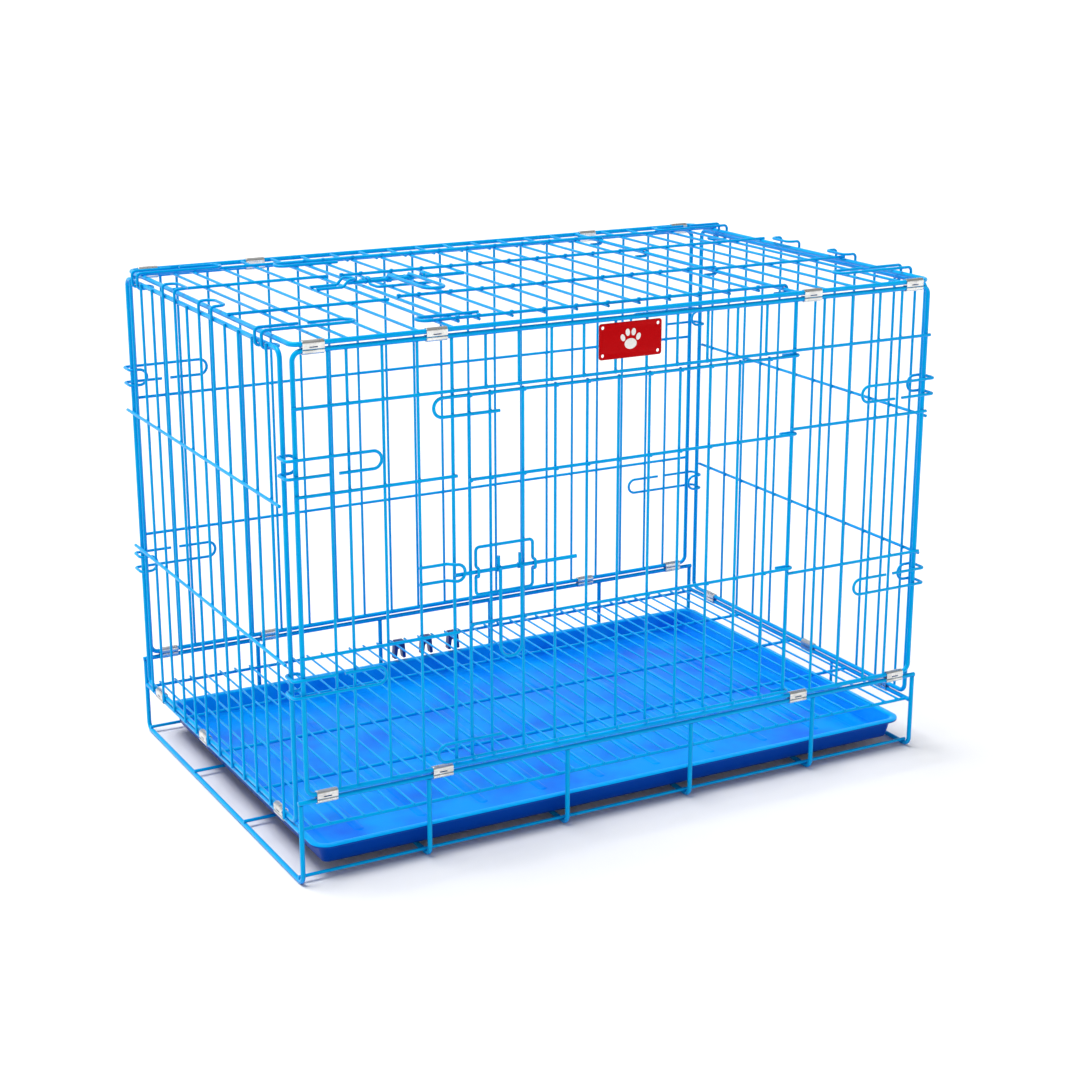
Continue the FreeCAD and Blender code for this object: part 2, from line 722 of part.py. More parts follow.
def name_plate():
    """A thin enamelled plate with four corner holes, spot-welded on two short wires."""
    body = doc.addObject("PartDesign::Body", "PlateBody")
    sketch = body.newObject("Sketcher::SketchObject", "PlateSketch")
    plane = [face for face in body.Origin.OriginFeatures if face.Role == "XY_Plane"][0]
    sketch.AttachmentSupport = [(plane, "")]
    sketch.MapMode = "FlatFace"
    wide = dim("plate_width")
    tall = dim("plate_height")
    corners = [vec(0, 0, 0), vec(wide, 0, 0), vec(wide, tall, 0), vec(0, tall, 0)]
    for index in range(4):
        sketch.addGeometry(Part.LineSegment(corners[index], corners[(index + 1) % 4]), False)
    for index in range(4):
        sketch.addConstraint(Sketcher.Constraint("Coincident", index, 2, (index + 1) % 4, 1))
    for index, kind in enumerate(("Horizontal", "Vertical", "Horizontal", "Vertical")):
        sketch.addConstraint(Sketcher.Constraint(kind, index))
    sketch.addConstraint(Sketcher.Constraint("Coincident", 0, 1, -1, 1))
    width_row = sketch.addConstraint(Sketcher.Constraint("DistanceX", 0, 1, 0, 2, wide))
    height_row = sketch.addConstraint(Sketcher.Constraint("DistanceY", 1, 1, 1, 2, tall))
    sketch.setExpression("Constraints[%d]" % width_row, "Dims.plate_width")
    sketch.setExpression("Constraints[%d]" % height_row, "Dims.plate_height")
    margin = dim("plate_margin")
    bore = radius_of("plate_hole")
    for x in (margin, wide - margin):
        for y in (margin, tall - margin):
            hole = sketch.addGeometry(Part.Circle(vec(x, y, 0), vec(0, 0, 1), bore), False)
            row = sketch.addConstraint(Sketcher.Constraint("Diameter", hole, dim("plate_hole")))
            sketch.setExpression("Constraints[%d]" % row, "Dims.plate_hole")
            sketch.addConstraint(Sketcher.Constraint("DistanceX", -1, 1, hole, 3, x))
            sketch.addConstraint(Sketcher.Constraint("DistanceY", -1, 1, hole, 3, y))
    pad = body.newObject("PartDesign::Pad", "PlatePad")
    pad.Profile = sketch
    pad.setExpression("Length", "Dims.plate_sheet")
    body.Tip = pad
    body.Label = "name_plate"
    corner = vec(dim("plate_left"), dim("plate_foot"), UPRIGHT_LAYER + UPRIGHT_RADIUS - WELD / 2.0)
    body.Placement = FRONT.multiply(FreeCAD.Placement(corner, FreeCAD.Rotation()))
    nodes.append(body)


# ---------------------------------------------------------------- back wall

def back_wall():
    post = dim("front_post")
    outer = dim("outer_wire")
    places = [-outer] + post_rows(post, -OUTERMOST, BESIDE_POST) + [outer]
    foot = WALL_FOOT + ROD - WELD
    head = WALL_HEAD - ROD + WELD
    node("back_frame", rod_frame(HALF_LENGTH, WALL_FOOT, WALL_HEAD), BACK)
    node("back_wires", uprights([-x for x in places], foot, head, UPRIGHT_LAYER), BACK)
    edge = HALF_LENGTH + ROD + POKE
    heights = (dim("low_cross"), dim("middle_cross"))
    node("back_cross_wires", cross_wires(heights, -edge, edge, CROSS_LAYER), BACK)
    node("back_hook_rings", wall_rings(), BACK)


# ---------------------------------------------------------------- end walls

def end_wall(side, placement):
    """One end wall; the right one is the left one turned round."""
    head = END_HEAD + ROD
    node(side + "_frame", rod_frame(END_DEPTH, END_FOOT, END_HEAD), placement)
    foot = END_FOOT - dim("end_wire_tail")
    places = [PITCH * (k + 0.5) for k in range(-6, 6)]
    node(side + "_wires", uprights(places, foot, head, END_UPRIGHT_LAYER), placement)
    edge = END_DEPTH + ROD + POKE
    heights = (dim("end_low_cross"), dim("end_high_cross"))
    node(side + "_cross_wires", cross_wires(heights, -edge, edge, END_CROSS_LAYER), placement)
    arches = []
    for middle in (-2.0 * PITCH, PITCH):
        arches += roof_arch(middle, head)
    node(side + "_arches", arches, placement)


def roof_arch(middle, head):
    """Two uprights joined by a loop that is bent inwards over the roof's end rail."""
    half = PITCH / 2.0
    layer = END_UPRIGHT_LAYER
    crest = ROOF + dim("arch_rise")
    inside = -dim("arch_inside")
    points = [vec(middle - half, head, layer), vec(middle - half, crest, layer),
              vec(middle - half, crest, inside), vec(middle + half, crest, inside),
              vec(middle + half, crest, layer), vec(middle + half, head, layer)]
    foot_bend = dim("arch_foot_bend")
    crest_bend = dim("arch_crest_bend")
    return bent_wire(points, [foot_bend, crest_bend, crest_bend, foot_bend], "upright_wire")


# ---------------------------------------------------------------- roof

def roof():
    post = dim("roof_post")
    outer = dim("outer_wire")
    butt = HALF_DEPTH - ROD + WELD
    border = dim("roof_border")
    node("roof_frame", rod_frame(HALF_LENGTH, -HALF_DEPTH, HALF_DEPTH), TOP)
    left = uprights([-outer] + post_rows(post, -OUTERMOST, -JAMB - 1), -butt, butt, UPRIGHT_LAYER)
    left += uprights([post - JAMB * PITCH], -butt, butt, UPRIGHT_LAYER, "jamb_wire")
    node("roof_left_wires", left, TOP)
    right = uprights(post_rows(post, 1, BESIDE_POST) + [outer], -butt, butt, UPRIGHT_LAYER)
    node("roof_right_wires", right, TOP)
    short_foot = border - dim("short_wire_tail")
    short = uprights(post_rows(post, 1 - JAMB, -1), short_foot, butt, UPRIGHT_LAYER)
    node("roof_border_wires", short, TOP)
    node("roof_hinge_post", uprights([post], -butt, butt, 0.0, "post_wire"), TOP)

    edge = HALF_LENGTH + ROD + POKE
    jamb = post - JAMB * PITCH + dim("jamb_overrun")
    rows = (-dim("roof_cross"), dim("roof_cross"))
    crosses = cross_wires([border], -edge, edge, CROSS_LAYER)
    crosses += cross_wires(rows, -edge, jamb, CROSS_LAYER)
    crosses += cross_wires(rows, post - POST, edge, CROSS_LAYER)
    node("roof_cross_wires", crosses, TOP)

    latch = dim("roof_latch_depth")
    bolt_keeper("roof_keeper", post, latch, TOP)
    node("roof_hook_rings", roof_rings(), TOP)
    middles = (dim("roof_door_cross"), -dim("roof_door_cross"))
    door("roof", post, dim("roof_door_front"), dim("roof_door_back"), middles, latch, TOP)


def hinge_clips():
    """Straps at every folding edge, each held by the rod named first."""
    for name, placement, flip in (("front", FRONT, 1), ("back", BACK, -1)):
        low = [hinge_clip(flip * u, BASE_RAIL, WALL_FOOT) for u in CLIP_PLACES]
        node("bottom_%s_clips" % name, low, placement)
        high = [hinge_clip(flip * u, ROOF, WALL_HEAD) for u in CLIP_PLACES]
        node("roof_%s_clips" % name, high, placement)
    for name, placement in (("left", LEFT), ("right", RIGHT)):
        ends = [hinge_clip(u, END_RAIL, END_FOOT) for u in END_CLIP_PLACES]
        node("bottom_%s_clips" % name, ends, placement)


# ---------------------------------------------------------------- the whole crate

base()
wire_floor()
tray()
front_wall()
name_plate()
back_wall()
end_wall("left", LEFT)
end_wall("right", RIGHT)
roof()
hinge_clips()
doc.recompute()

for item in doc.Objects:
    if "Invalid" in item.State or "Error" in item.State:
        raise RuntimeError("%s failed to build" % item.Label)
for part in nodes:
    if part.Shape.isNull() or not part.Shape.isValid():
        raise RuntimeError("%s has no valid shape" % part.Label)

os.makedirs("parts", exist_ok=True)
for part in nodes:
    part.Shape.exportStep("parts/%s.step" % part.Label)
print(len(nodes), "nodes written")
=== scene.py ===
import json
import math

import bmesh
import bpy
from bpy.props import FloatProperty, FloatVectorProperty, PointerProperty
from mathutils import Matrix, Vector

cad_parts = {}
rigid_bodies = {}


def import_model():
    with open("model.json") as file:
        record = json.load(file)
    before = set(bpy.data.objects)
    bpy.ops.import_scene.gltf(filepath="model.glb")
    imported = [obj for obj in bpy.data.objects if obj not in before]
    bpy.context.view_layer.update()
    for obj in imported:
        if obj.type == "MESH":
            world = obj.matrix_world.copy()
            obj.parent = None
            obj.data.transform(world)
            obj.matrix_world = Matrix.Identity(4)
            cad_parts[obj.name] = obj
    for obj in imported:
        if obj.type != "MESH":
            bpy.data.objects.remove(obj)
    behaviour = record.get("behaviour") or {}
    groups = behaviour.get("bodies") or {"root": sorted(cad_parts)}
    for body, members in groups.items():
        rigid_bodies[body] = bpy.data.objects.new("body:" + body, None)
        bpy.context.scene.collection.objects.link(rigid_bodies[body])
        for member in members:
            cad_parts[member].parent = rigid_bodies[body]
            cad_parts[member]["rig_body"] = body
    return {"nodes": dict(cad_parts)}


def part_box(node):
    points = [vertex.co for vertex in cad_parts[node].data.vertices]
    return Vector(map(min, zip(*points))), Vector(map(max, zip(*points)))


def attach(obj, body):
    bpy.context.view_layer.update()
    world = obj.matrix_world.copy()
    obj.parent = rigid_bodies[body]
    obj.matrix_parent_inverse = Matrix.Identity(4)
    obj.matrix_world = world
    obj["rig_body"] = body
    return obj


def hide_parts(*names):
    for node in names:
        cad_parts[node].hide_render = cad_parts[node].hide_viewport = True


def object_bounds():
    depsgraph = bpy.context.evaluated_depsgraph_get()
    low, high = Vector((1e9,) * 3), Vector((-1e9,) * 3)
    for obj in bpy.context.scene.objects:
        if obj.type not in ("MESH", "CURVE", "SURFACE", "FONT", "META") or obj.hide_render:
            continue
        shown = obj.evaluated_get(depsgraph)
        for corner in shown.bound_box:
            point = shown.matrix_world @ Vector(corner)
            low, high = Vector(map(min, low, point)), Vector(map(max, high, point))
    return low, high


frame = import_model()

CAD_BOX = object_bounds()

bl_info = {
    "name": "Wire Dog Crate",
    "version": (1, 0, 0),
    "blender": (4, 5, 0),
    "location": "3D View > Sidebar > Crate",
    "description": "Finishes a folding wire dog crate: coats, tray, hinge clips, name plate and studio",
    "category": "Object",
}

# Lengths are in metres.
SHORTEST_RUN = 0.03
THICKEST_WIRE = 0.006
WELD_HALF_DEPTH = 0.0011
DOME_SINK = 0.0002
DOME_REACH = 0.0006

# Directions for the painted shade: straight up, for the tray's walls, and the side from which the painted
# light falls on the coat.
UPWARD = (0.0, 0.0, 1.0)
PAINTED_LIGHT_FROM = (-0.42, -0.42, 0.80)

# Shades that are mixed into the finishes in small shares.
COAT_DUST = (0.10, 0.50, 0.80)
RUST_SPOT = (0.22, 0.20, 0.18)
TRAY_SCUFF = (0.08, 0.42, 0.95)
CLIP_RUB = (0.01, 0.09, 0.42)
BARE_STEEL = (0.30, 0.28, 0.26)
MARK_SHADE = (0.72, 0.70, 0.68)
FLOOR_SHADE = (0.82, 0.82, 0.83)

# The tray's section. Every row is an inset and a height from the place that its table names.
TRAY_WALL_LEAN = 0.0060
TRAY_WALL_START = 0.0048
TRAY_FOOT_BEND = 0.0045
TRAY_UNDERSIDE = ((0.0060, 0.0006), (0.0050, 0.0))
TRAY_RIM_BELOW = ((0.0014, -0.0014), (0.0008, -0.0004), (-0.0004, 0.0))
TRAY_LIP = ((0.0022, 0.0), (0.0016, -0.0003), (0.0014, -0.0012), (0.0009, -0.0014), (0.0003, -0.0010),
            (0.0, 0.0))
TRAY_EDGE = ((0.0, -0.0010), (0.0003, -0.0003), (0.0010, 0.0))
TRAY_RIM_ABOVE = ((-0.0006, 0.0), (0.0010, -0.0004), (0.0019, -0.0014))
TRAY_INNER_FOOT = (-0.0004, 0.0060)
TRAY_INNER_BEND = 0.0058
TRAY_BOTTOM_STEP = ((0.0180, 0.0), (0.0190, 0.0002), (0.0205, 0.0010), (0.0215, 0.0012), (0.0300, 0.0012))
TRAY_LEAST_CORNER = 0.006

# Ribs on the tray's bottom.
RIB_COUNT = 9
RIB_HALF_WIDTH = 0.0060
RIB_SECTION = ((0.0, -0.2), (0.0006, 0.25), (0.0018, 0.75), (0.0032, 1.0))
RIB_ROW_INSET = 0.075
RIB_END_INSET = 0.062
RIB_SINK = 0.0001

# The hinge clips' section, from the middle of a rod.
STRAP_SEAM = 0.0005
CREASE_FOOT = 0.0008
CREASE_FACE = 0.0012
FLAT_FOOT = 0.0020
FLAT_TOP = 0.0004
SLOT_DROP = 0.0032
SLOT_HEIGHT = 0.0013
SLOT_SIDE = 0.0006
STRAP_EDGE = 0.0012

# The name plate, its corner holes and its paw mark.
PLATE_EDGE = 0.0002
PLATE_HOLE = 0.0017
PLATE_HOLES = ((-0.032, -0.014), (-0.032, 0.014), (0.032, -0.014), (0.032, 0.014))
PAW_PAD_PLACE = (0.0, -0.0042)
PAW_PAD = (0.0070, 0.0054)
PAW_TOE = (0.0025, 0.0037)
PAW_TOES = ((-0.0090, 0.0024, 24.0), (-0.0034, 0.0074, 8.0), (0.0034, 0.0074, -8.0),
            (0.0090, 0.0024, -24.0))
MARK_HALF_THICK = 0.00005
MARK_EDGE = 0.00006
MARK_LIFT = 0.00004

# The studio floor lies flat near the crate and curves up like a bowl far from it.
FLOOR_DROP = 0.0002
FLOOR_FLAT = 30.0
FLOOR_CURVE = 30.0
FLOOR_RISE = 25.0
FLOOR_RINGS = 6

# Each row of hinge clips is replaced by straps, which ride on the body named here.
STRAP_NODES = {
    "bottom_front_clips": "base", "bottom_back_clips": "base",
    "bottom_left_clips": "base", "bottom_right_clips": "base",
    "roof_front_clips": "roof", "roof_back_clips": "roof",
}

# Pairs of nodes whose wires are welded where they cross.
WELDED = (
    ("front_cross_wires", "front_left_wires"), ("front_cross_wires", "front_right_wires"),
    ("front_cross_wires", "front_lintel_wires"), ("front_door_rails", "front_door_wires"),
    ("back_cross_wires", "back_wires"), ("left_cross_wires", "left_wires"),
    ("right_cross_wires", "right_wires"), ("roof_cross_wires", "roof_left_wires"),
    ("roof_cross_wires", "roof_right_wires"), ("roof_cross_wires", "roof_border_wires"),
    ("roof_door_rails", "roof_door_wires"), ("floor_bearers", "floor_grid_wires"),
)

# Nodes whose straight wires end in the open, where the coat rounds the cut.
OPEN_ENDED = ("front_cross_wires", "back_cross_wires", "left_cross_wires", "right_cross_wires",
              "roof_cross_wires", "floor_grid_wires", "tray_runners", "base_side_rails",
              "front_bolt", "roof_bolt", "front_door_wires", "roof_door_wires")

# Boxes round the wires of a node, kept once they have been measured.
WIRE_BOXES = {}


# ---------------------------------------------------------------- colours and sizes

def colour(name, description, default):
    """A colour that can be set in the sidebar."""
    return FloatVectorProperty(name=name, description=description, default=default,
                               subtype="COLOR", size=3, min=0.0, max=1.0)


def length(name, description, default):
    """A length that can be set in the sidebar."""
    return FloatProperty(name=name, description=description, default=default,
                         subtype="DISTANCE", unit="LENGTH", min=0.0, precision=4)


class CrateColours(bpy.types.PropertyGroup):
    """Colours of the crate's finishes."""

    coat: colour("Coat", "Blue of the powder coat", (0.0, 0.40, 0.80))
    # Mostly painted shade on the coat's undersides; a little of it is mixed in at random as thick powder.
    coat_thick_and_shade: colour("Thick coat", "Deeper blue where the powder lies thick", (0.0, 0.14, 0.68))
    coat_glint: colour("Coat glint", "Tint of the reflections on the powder coat", (0.03, 0.62, 1.0))
    plating: colour("Plating", "Nickel on the hinge clips", (0.78, 0.78, 0.76))
    tarnish: colour("Tarnish", "Duller patches of the nickel", (0.52, 0.52, 0.50))
    tray: colour("Tray", "Blue plastic of the tray", (0.0, 0.13, 0.76))
    tray_worn: colour("Worn tray", "Paler plastic where claws have scuffed the tray", (0.0, 0.35, 0.93))
    tray_rim: colour("Tray rim", "Paler blue where the tray's rim is rubbed", (0.0, 0.47, 0.96))
    # Painted shade: this deep blue stands for the shadow on the tray's outer walls and underside.
    tray_wall_shade: colour("Tray wall", "Deep blue of the tray's outer walls", (0.0, 0.045, 0.36))
    clip: colour("Floor clip", "Dark blue plastic of the clips on the floor", (0.004, 0.03, 0.19))
    enamel: colour("Enamel", "Red of the name plate", (0.48, 0.0, 0.002))
    enamel_glint: colour("Enamel glint", "Tint of the reflections on the enamel", (1.0, 0.05, 0.05))
    enamel_edge: colour("Enamel edge", "Darker red where the enamel thins", (0.33, 0.003, 0.008))
    mark: colour("Mark", "White of the mark on the plate", (0.86, 0.85, 0.82))
    floor: colour("Floor", "Pale studio floor", (0.86, 0.86, 0.86))


class CrateSizes(bpy.types.PropertyGroup):
    """Sizes of the parts that are finished here."""

    strap_sheet: length("Clip sheet", "Thickness of the hinge clips' sheet", 0.0008)
    strap_slot: length("Clip slot", "Length of the slot in a hinge clip", 0.0085)
    strap_dip: length("Clip dip", "How far a clip's flat lies in from its rolls", 0.0002)
    strap_crease: length("Clip crease", "Depth of the crease over a clip's lower roll", 0.0020)
    tray_sheet: length("Tray sheet", "Thickness of the tray's plastic", 0.0022)
    tray_rim: length("Tray rim", "Width of the tray's flat rim", 0.0060)
    tray_corner: length("Tray corner", "Radius of the rim's corners", 0.0180)
    tray_rib: length("Tray rib", "Height of the ribs on the tray's bottom", 0.0012)
    plate_corner: length("Plate corner", "Radius of the name plate's corners", 0.0030)
    weld_spread: length("Weld spread", "How far a weld spreads past its two wires", 0.0007)


class CrateStudio(bpy.types.PropertyGroup):
    """Camera and lights."""

    lens: FloatProperty(name="Lens", description="Focal length on a 36 mm sensor",
                        default=69.24, subtype="DISTANCE_CAMERA", min=10.0)
    heading: FloatProperty(name="Heading", description="Turn of the view to the right of straight ahead",
                           default=math.radians(28.704), subtype="ANGLE", unit="ROTATION")
    dip: FloatProperty(name="Dip", description="Tilt of the view below the horizon",
                       default=math.radians(16.777), subtype="ANGLE", unit="ROTATION")
    stand: FloatVectorProperty(name="Camera place", description="Where the camera stands",
                               default=(-1.0645, -1.9775, 0.9183), subtype="TRANSLATION",
                               unit="LENGTH", size=3)
    daylight: FloatProperty(name="Daylight", description="Strength of the white surroundings",
                            default=0.22, min=0.0)
    overhead: FloatProperty(name="Overhead", description="Strength of the broad lamp above",
                            default=3.7, min=0.0)
    lamp_tilt: FloatVectorProperty(name="Lamp tilt", description="Turn of the lamp from straight down",
                                   default=(math.radians(-12.0), math.radians(-14.0), 0.0),
                                   subtype="EULER", unit="ROTATION", size=3)
    spread: FloatProperty(name="Softness", description="Angle that the broad lamp fills",
                          default=math.radians(40.0), subtype="ANGLE", unit="ROTATION")


# ---------------------------------------------------------------- shader maths

class Value:
    """A value socket of a material; arithmetic on it adds Math nodes."""

    def __init__(self, finish, socket):
        self.finish = finish
        self.socket = socket

    def _math(self, operation, first, second=None):
        values = {0: first} if second is None else {0: first, 1: second}
        return self.finish.add("ShaderNodeMath", {"operation": operation}, values).value("Value")

    def __add__(self, other):
        return self._math("ADD", self, other)

    __radd__ = __add__

    def __sub__(self, other):
        return self._math("SUBTRACT", self, other)

    def __rsub__(self, other):
        return self._math("SUBTRACT", other, self)

    def __mul__(self, other):
        return self._math("MULTIPLY", self, other)

    __rmul__ = __mul__

    def at_least(self, other):
        """The larger of the two values."""
        return self._math("MAXIMUM", self, other)

    def above(self, other):
        """1 where the value is above the other, else 0."""
        return self._math("GREATER_THAN", self, other)

    def size(self):
        """The value without its sign."""
        return self._math("ABSOLUTE", self)


class Step:
    """A node of a material."""

    def __init__(self, finish, node):
        self.finish = finish
        self.node = node

    def value(self, name):
        """An output that takes part in shader maths."""
        return Value(self.finish, self.node.outputs[name])

    def out(self, name):
        """An output that is only linked on."""
        return self.node.outputs[name]


class Finish:
    """A material that is built up node by node."""

    def __init__(self, name):
        self.material = bpy.data.materials.new(name)
        self.material.use_nodes = True
        self.tree = self.material.node_tree
        self.tree.nodes.clear()
        self.place = self.add("ShaderNodeTexCoord").out("Object")

    def add(self, kind, settings=None, values=None):
        """Adds a node; its settings are set first, and then the values or links of its sockets."""
        node = self.tree.nodes.new(kind)
        for name, setting in (settings or {}).items():
            if name == "stops":
                self._set_stops(node.color_ramp, setting)
            else:
                setattr(node, name, setting)
        for name, given in (values or {}).items():
            socket = node.inputs[name]
            if isinstance(given, Value):
                self.tree.links.new(given.socket, socket)
            elif isinstance(given, bpy.types.NodeSocket):
                self.tree.links.new(given, socket)
            else:
                socket.default_value = given
        return Step(self, node)

    @staticmethod
    def _set_stops(ramp, stops):
        while len(ramp.elements) < len(stops):
            ramp.elements.new(1.0)
        for element, (position, shade) in zip(ramp.elements, stops):
            element.position = position
            element.color = shade

    def facing(self, direction):
        """How far the surface faces along a direction, from -1 to 1."""
        outward = self.add("ShaderNodeTexCoord").out("Normal")
        return self.add("ShaderNodeVectorMath", {"operation": "DOT_PRODUCT"},
                        {0: outward, 1: direction}).value("Value")

    def noise(self, scale, detail=3.0, stretch=(1.0, 1.0, 1.0), roughness=0.5):
        """Noise from 0 to 1; scale counts its lumps in a metre."""
        there = self.add("ShaderNodeVectorMath", {"operation": "MULTIPLY"},
                         {0: self.place, 1: stretch}).out("Vector")
        return self.add("ShaderNodeTexNoise", {"noise_dimensions": "3D"},
                        {"Vector": there, "Scale": scale, "Detail": detail,
                         "Roughness": roughness}).value("Fac")

    def spread(self, value, low, high):
        """The value spread so that low becomes 0 and high becomes 1, and kept within them."""
        return self.add("ShaderNodeMapRange", {"clamp": True},
                        {"Value": value, "From Min": low, "From Max": high}).value("Result")

    def mix(self, share, first, second):
        """A colour between two others."""
        values = {"Factor": share, 6: opaque(first), 7: opaque(second)}
        return self.add("ShaderNodeMix", {"data_type": "RGBA"}, values).out(2)

    def bump(self, height, depth, strength=1.0):
        """A normal from a height of 0 to 1 that stands for the depth in metres."""
        return self.add("ShaderNodeBump", None,
                        {"Height": height, "Distance": depth, "Strength": strength}).out("Normal")

    def shade(self, **values):
        """Ends the material in one glossy surface."""
        named = {name.replace("_", " "): given for name, given in values.items()}
        surface = self.add("ShaderNodeBsdfPrincipled", None, named).out("BSDF")
        self.add("ShaderNodeOutputMaterial", None, {"Surface": surface})
        return self.material


def opaque(shade):
    """A plain colour with its alpha; a link is passed through."""
    if isinstance(shade, bpy.types.NodeSocket):
        return shade
    return (shade[0], shade[1], shade[2], 1.0)


def existing(name, make):
    """The material of that name, made at its first use."""
    return bpy.data.materials.get(name) or make(name)


def powder_coat(name):
    """Glossy blue powder coat: slightly pebbled, with painted shade, a deeper blue, on the sides that face
    away from the painted light, a little random deeper tone where the powder lies thick, and a little
    dust.
    """
    tones = bpy.context.scene.crate_colours
    coat = Finish(name)
    drift = coat.spread(coat.noise(14.0, 2.0), 0.35, 0.68)
    fine = coat.noise(160.0, 3.0)
    pebble = coat.noise(850.0, 2.0)
    # Painted shade: the sides that face away from the painted light's direction get the deeper blue.
    under = coat.spread(coat.facing(PAINTED_LIGHT_FROM), 0.45, -0.60)
    dust = coat.spread(coat.noise(420.0, 4.0, roughness=0.7), 0.62, 0.78)
    # Three quarters of this share is painted shade; the rest is random deeper tone for thick powder.
    blue = coat.mix(under * 0.75 + drift * 0.20 + fine * 0.05, tones.coat, tones.coat_thick_and_shade)
    blue = coat.mix(dust * 0.04, blue, COAT_DUST)
    gloss = 0.25 + fine * 0.12 + dust * 0.18
    return coat.shade(Base_Color=blue, Roughness=gloss, Specular_IOR_Level=0.6,
                      Specular_Tint=opaque(tones.coat_glint), Normal=coat.bump(pebble, 0.00012, 0.5))


def nickel_plate(name):
    """Bright nickel on pressed steel: drawn grain along the strap and duller, fingered patches."""
    tones = bpy.context.scene.crate_colours
    plate = Finish(name)
    grain = plate.noise(900.0, 2.0, stretch=(0.06, 1.0, 1.0))
    cloud = plate.spread(plate.noise(90.0, 4.0, roughness=0.6), 0.40, 0.66)
    spots = plate.spread(plate.noise(700.0, 3.0), 0.66, 0.74)
    steel = plate.mix(cloud * 0.7, tones.plating, tones.tarnish)
    steel = plate.mix(spots * 0.5, steel, RUST_SPOT)
    gloss = 0.20 + grain * 0.10 + cloud * 0.16 + spots * 0.2
    return plate.shade(Base_Color=steel, Metallic=0.92, Roughness=gloss,
                       Normal=plate.bump(grain + spots * -0.6, 0.00006, 0.6))


def tray_plastic(name):
    """Moulded blue plastic: a fine grain, claw scuffs that run both ways, a matt bloom, and painted shade,
    a deep blue, on the steep walls and the underside.
    """
    tones = bpy.context.scene.crate_colours
    skin = Finish(name)
    grain = skin.noise(1300.0, 2.0)
    cloud = skin.spread(skin.noise(16.0, 5.0), 0.28, 0.60)
    long_scuffs = skin.spread(skin.noise(70.0, 5.0, (0.12, 1.6, 1.0), 0.7), 0.63, 0.72)
    cross_scuffs = skin.spread(skin.noise(70.0, 5.0, (1.6, 0.12, 1.0), 0.7), 0.64, 0.73)
    scuffs = long_scuffs.at_least(cross_scuffs)
    shade = skin.mix(cloud * 0.85 + 0.1, tones.tray, tones.tray_worn)
    shade = skin.mix(scuffs * 0.22, shade, TRAY_SCUFF)
    height = skin.add("ShaderNodeSeparateXYZ", None, {"Vector": skin.place}).value("Z")
    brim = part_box("tray")[1].z
    rim = skin.spread(height, brim - 0.0022, brim - 0.0008)
    shade = skin.mix(rim * 0.85, shade, tones.tray_rim)
    # Painted shade: surfaces that face sideways or down, the steep walls and the underside, turn deep
    # blue.
    shade = skin.mix(skin.spread(skin.facing(UPWARD), 0.12, -0.06), shade, tones.tray_wall_shade)
    gloss = 0.30 + cloud * 0.10 + scuffs * 0.2 + grain * 0.06
    return skin.shade(Base_Color=shade, Roughness=gloss, Specular_IOR_Level=0.3,
                      Specular_Tint=opaque(tones.coat_glint),
                      Normal=skin.bump(grain * 0.6 + scuffs * -0.5, 0.00010, 0.6))


def clip_plastic(name):
    """Tough dark plastic with the grain of its mould and paler, rubbed spots."""
    tones = bpy.context.scene.crate_colours
    skin = Finish(name)
    grain = skin.noise(1500.0, 2.0)
    rub = skin.spread(skin.noise(260.0, 4.0), 0.54, 0.72)
    shade = skin.mix(rub * 0.45, tones.clip, CLIP_RUB)
    return skin.shade(Base_Color=shade, Roughness=0.38 + rub * 0.2, Specular_IOR_Level=0.5,
                      Normal=skin.bump(grain, 0.00008, 0.5))


def red_enamel(name):
    """Fired red enamel: a faint ripple, darker at the plate's edge, with chips down to the steel."""
    tones = bpy.context.scene.crate_colours
    low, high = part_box("name_plate")
    middle = (low + high) / 2.0
    half = (high - low) / 2.0
    glass = Finish(name)
    split = glass.add("ShaderNodeSeparateXYZ", None, {"Vector": glass.place})
    across = (split.value("X") - middle.x).size() * (1.0 / half.x)
    upward = (split.value("Z") - middle.z).size() * (1.0 / half.z)
    edge_x = glass.spread(across, 0.965, 1.0)
    edge_z = glass.spread(upward, 0.93, 1.0)
    edge = edge_x.at_least(edge_z)
    ripple = glass.noise(260.0, 2.0)
    specks = glass.noise(900.0, 3.0)
    chips = (edge * glass.noise(520.0, 3.0)).above(0.53)
    red = glass.mix(edge * 0.8 + specks * 0.12, tones.enamel, tones.enamel_edge)
    red = glass.mix(chips, red, BARE_STEEL)
    gloss = 0.16 + specks * 0.08 + chips * 0.35
    return glass.shade(Base_Color=red, Roughness=gloss, Specular_IOR_Level=0.35,
                       Specular_Tint=opaque(tones.enamel_glint),
                       Normal=glass.bump(ripple + chips * -1.0, 0.00010, 0.4))


def white_enamel(name):
    """The mark's white: a thin screened layer, a little uneven."""
    tones = bpy.context.scene.crate_colours
    ink = Finish(name)
    cloud = ink.spread(ink.noise(400.0, 3.0), 0.40, 0.70)
    white = ink.mix(cloud * 0.5, tones.mark, MARK_SHADE)
    return ink.shade(Base_Color=white, Roughness=0.28 + cloud * 0.15,
                     Normal=ink.bump(cloud, 0.00005, 0.4))


def studio_paint(name):
    """Plain pale floor, very slightly uneven."""
    tones = bpy.context.scene.crate_colours
    paint = Finish(name)
    cloud = paint.noise(1.5, 2.0)
    white = paint.mix(cloud * 0.06, tones.floor, FLOOR_SHADE)
    return paint.shade(Base_Color=white, Roughness=0.9 - cloud * 0.05, Specular_IOR_Level=0.1)


# ---------------------------------------------------------------- meshes

